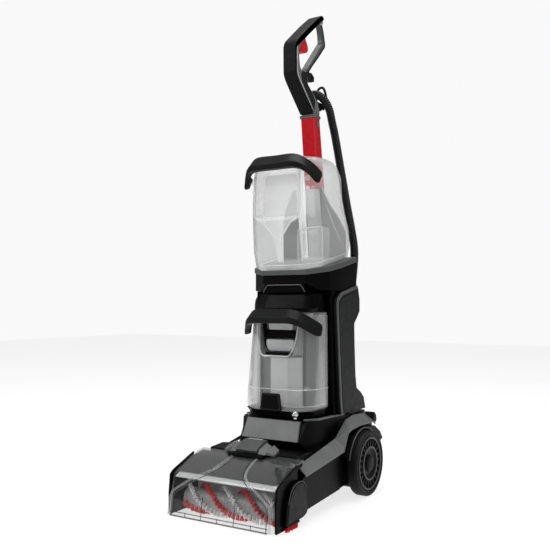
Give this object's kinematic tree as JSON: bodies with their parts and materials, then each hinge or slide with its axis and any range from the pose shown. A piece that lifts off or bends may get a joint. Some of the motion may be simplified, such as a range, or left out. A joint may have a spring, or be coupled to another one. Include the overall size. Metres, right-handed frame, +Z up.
{
  "type": "upright carpet cleaner",
  "caption": "Upright carpet cleaning machine with a clear nozzle hood, brush roll, lift-off clean and dirty water tanks, reclining body, looped handle and stored hose.",
  "frame": {"origin": "on the floor, under the middle of the machine's box without its free hose and tool", "axes": "+Z up, -Y towards the nozzle at the front, +X to the machine's left as seen from the front, the hose side"},
  "size_m": [0.306, 0.47, 1.104],
  "materials": {
    "black": "satin black moulded plastic",
    "dark": "fine-textured charcoal plastic",
    "grey": "light grey moulded plastic",
    "trim": "mid grey moulded plastic",
    "red": "bright red glossy plastic",
    "bristle": "stiff nylon bristles in red and white",
    "clear": "clear smoke-tinted plastic, glossy",
    "rubber": "black ribbed rubber",
    "tyre": "black tyre rubber",
    "core": "grey moulded plastic",
    "metal": "brushed steel"
  },
  "bodies": {
    "base": {"base_housing": "black", "base_sole": "black", "skid_right": "rubber", "skid_left": "rubber", "rail_right": "grey", "rail_left": "grey", "fender_right": "black", "fender_left": "black", "hood_end_right": "black", "hood_end_left": "black", "side_cap_right": "dark", "side_cap_left": "dark", "edge_brush_right": "bristle", "edge_brush_left": "bristle", "axle": "metal"},
    "hood": {"nozzle_hood": "clear"},
    "hood_latch": {"hood_latch": "trim"},
    "brush_roll": {"brush_core": "core", "brush_tufts": "bristle"},
    "wheel_right": {"tyre_right": "tyre", "rim_right": "trim"},
    "wheel_left": {"tyre_left": "tyre", "rim_left": "trim"},
    "upright": {"pod_housing": "black", "pod_band": "grey", "spine_housing": "black", "side_panel_right": "dark", "side_panel_left": "dark", "panel_edge_right": "trim", "panel_edge_left": "trim", "rear_cover": "black", "shelf_housing": "black", "shelf_rim": "grey", "lower_column": "grey", "pole": "red", "collar": "grey", "handle_frame": "grey", "grip_skin": "black", "hose_hook": "black", "hose_port": "black", "tool_clip": "black", "cord_hook_lower": "black", "cord_gland": "rubber", "hose_cuff": "trim", "hose": "rubber", "hose_connector": "trim", "cleaning_tool": "black"},
    "trigger": {"trigger": "red"},
    "pole_button": {"pole_button": "grey"},
    "power_button": {"power_button": "red"},
    "cord_hook_upper": {"cord_hook_upper": "black"},
    "clean_tank": {"clean_tank_shell": "clear"},
    "clean_bail": {"clean_bail": "black"},
    "clean_tank_cap": {"clean_tank_cap": "dark"},
    "dirty_tank": {"dirty_tank_shell": "clear", "dirty_tank_foot": "black", "dirty_tank_lid": "black", "dirty_duct": "grey"},
    "tank_float": {"tank_float": "red"},
    "dirty_bail": {"dirty_bail": "black"}
  },
  "joints": [
    {"name": "recline", "type": "hinge", "parent": "base", "child": "upright", "pos_m": [0, 0.123, 0.07], "axis": [-1, 0, 0], "range_deg": [0, 55]},
    {"name": "wheel_right_spin", "type": "hinge", "parent": "base", "child": "wheel_right", "pos_m": [0.14, 0.123, 0.07], "axis": [1, 0, 0], "continuous": true},
    {"name": "wheel_left_spin", "type": "hinge", "parent": "base", "child": "wheel_left", "pos_m": [-0.14, 0.123, 0.07], "axis": [1, 0, 0], "continuous": true},
    {"name": "brush_spin", "type": "hinge", "parent": "base", "child": "brush_roll", "pos_m": [0, -0.179, 0.031], "axis": [1, 0, 0], "continuous": true},
    {"name": "hood_slide", "type": "slide", "parent": "base", "child": "hood", "axis": [0, -1, 0], "range_m": [0, 0.05]},
    {"name": "hood_latch_turn", "type": "hinge", "parent": "hood", "child": "hood_latch", "pos_m": [0, -0.099, 0.137], "axis": [-1, 0, 0], "range_deg": [0, 40]},
    {"name": "trigger_squeeze", "type": "hinge", "parent": "upright", "child": "trigger", "pos_m": [0, 0.068, 1], "axis": [1, 0, 0], "range_deg": [0, 9], "stiffness_Nm_per_rad": 0.4, "springref_deg": -8.59},
    {"name": "pole_button_press", "type": "slide", "parent": "upright", "child": "pole_button", "axis": [-1, 0, 0], "range_m": [0, 0.002], "stiffness_N_per_m": 400, "springref_m": -0.001},
    {"name": "power_button_press", "type": "slide", "parent": "upright", "child": "power_button", "axis": [0, -1, 0], "range_m": [0, 0.003], "stiffness_N_per_m": 500, "springref_m": -0.001},
    {"name": "cord_hook_turn", "type": "hinge", "parent": "upright", "child": "cord_hook_upper", "pos_m": [-0.005, 0.187, 0.4], "axis": [0, 1, 0], "range_deg": [0, 180]},
    {"name": "clean_tank_lift", "type": "slide", "parent": "upright", "child": "clean_tank", "axis": [0, -0.129, 0.9916], "range_m": [0, 0.08]},
    {"name": "clean_bail_swing", "type": "hinge", "parent": "clean_tank", "child": "clean_bail", "pos_m": [0, 0.017, 0.712], "axis": [-1, 0, 0], "range_deg": [0, 50]},
    {"name": "tank_cap_turn", "type": "hinge", "parent": "clean_tank", "child": "clean_tank_cap", "pos_m": [0, 0.068, 0.495], "axis": [0, 0, -1], "range_deg": [0, 90]},
    {"name": "dirty_tank_pull", "type": "slide", "parent": "upright", "child": "dirty_tank", "axis": [0, -1, 0], "range_m": [0, 0.12]},
    {"name": "float_rise", "type": "slide", "parent": "dirty_tank", "child": "tank_float", "axis": [0, 0, 1], "range_m": [0, 0.04]},
    {"name": "dirty_bail_swing", "type": "hinge", "parent": "dirty_tank", "child": "dirty_bail", "pos_m": [0, 0.011, 0.364], "axis": [-1, 0, 0], "range_deg": [0, 25]}
  ]
}
